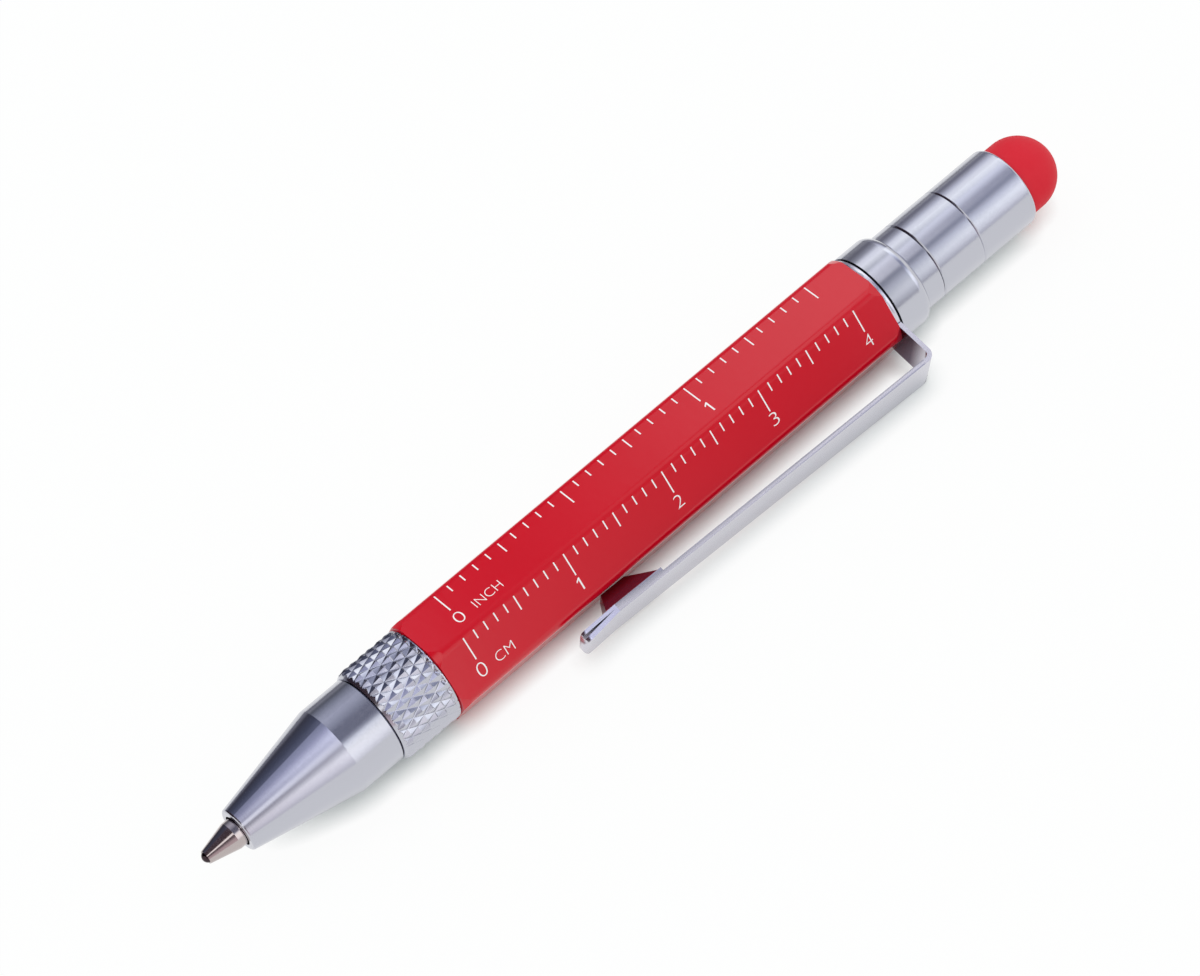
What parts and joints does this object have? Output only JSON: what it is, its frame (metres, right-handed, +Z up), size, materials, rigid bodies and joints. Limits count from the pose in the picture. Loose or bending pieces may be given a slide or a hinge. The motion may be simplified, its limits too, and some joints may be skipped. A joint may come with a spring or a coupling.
{
  "type": "multi tool pen",
  "caption": "Pocket twist ballpoint pen with a hexagonal ruler barrel, knurled grip, side clip, stylus cap and a driver bit under the cap.",
  "frame": {"origin": "middle of the barrel flat that the pen lies on", "axes": "+X along the pen from the writing tip to the stylus, +Z up, away from the resting flat"},
  "size_m": [0.0872, 0.0121, 0.0081],
  "materials": {
    "red_lacquer": "gloss",
    "satin_chrome": "satin",
    "spring_steel": "satin nickel",
    "turned_brass": "turned",
    "moulded_nylon": "moulded",
    "dark_nylon": "moulded",
    "ground_steel": "ground",
    "tool_steel": "hardened",
    "plated_magnet": "nickel plated",
    "carbide": "polished",
    "nickel_silver": "polished",
    "refill_brass": "drawn tube",
    "silicone_rubber": "matte"
  },
  "bodies": {
    "barrel": {"hex_barrel": "red_lacquer", "front_bushing": "turned_brass", "knurled_ring": "satin_chrome", "rear_bushing": "dark_nylon", "clip_ring": "spring_steel", "mechanism_sleeve": "moulded_nylon", "thrust_washer": "dark_nylon"},
    "clip": {"clip_arm": "spring_steel"},
    "nose": {"nose_cone": "satin_chrome"},
    "twist_knob": {"twist_collar": "satin_chrome", "cam_spindle": "moulded_nylon", "bit_holder": "turned_brass", "bit_magnet": "plated_magnet"},
    "refill": {"refill_ball": "carbide", "refill_tip": "nickel_silver", "refill_tube": "refill_brass", "refill_carrier": "moulded_nylon", "drive_pin": "ground_steel"},
    "stylus_cap": {"cap_sleeve": "satin_chrome", "stylus_ferrule": "satin_chrome", "stylus_tip": "silicone_rubber", "tip_core": "moulded_nylon"},
    "bit": {"driver_bit": "tool_steel"}
  },
  "joints": [
    {"name": "twist_turn", "type": "hinge", "parent": "barrel", "child": "twist_knob", "pos_m": [0.025, 0, 0.00405], "axis": [1, 0, 0], "range_deg": [0, 180]},
    {"name": "refill_slide", "type": "slide", "parent": "barrel", "child": "refill", "axis": [1, 0, 0], "range_m": [0, 0.0038]},
    {"name": "clip_flex", "type": "hinge", "parent": "barrel", "child": "clip", "pos_m": [0.0221, -0.00706, 0.00189], "axis": [0, -0.2924, 0.9563], "range_deg": [0, 5], "stiffness_Nm_per_rad": 0.5},
    {"name": "nose_off", "type": "slide", "parent": "barrel", "child": "nose", "axis": [-1, 0, 0], "range_m": [0, 0.02]},
    {"name": "cap_off", "type": "slide", "parent": "twist_knob", "child": "stylus_cap", "axis": [1, 0, 0], "range_m": [0, 0.026]},
    {"name": "bit_out", "type": "slide", "parent": "twist_knob", "child": "bit", "axis": [1, 0, 0], "range_m": [0, 0.013]}
  ],
  "couplings": [
    {"joint": "twist_turn", "follows": "refill_slide", "rad_per_m": 826.73},
    {"joint": "bit_out", "follows": "cap_off", "ratio": 0.5}
  ]
}
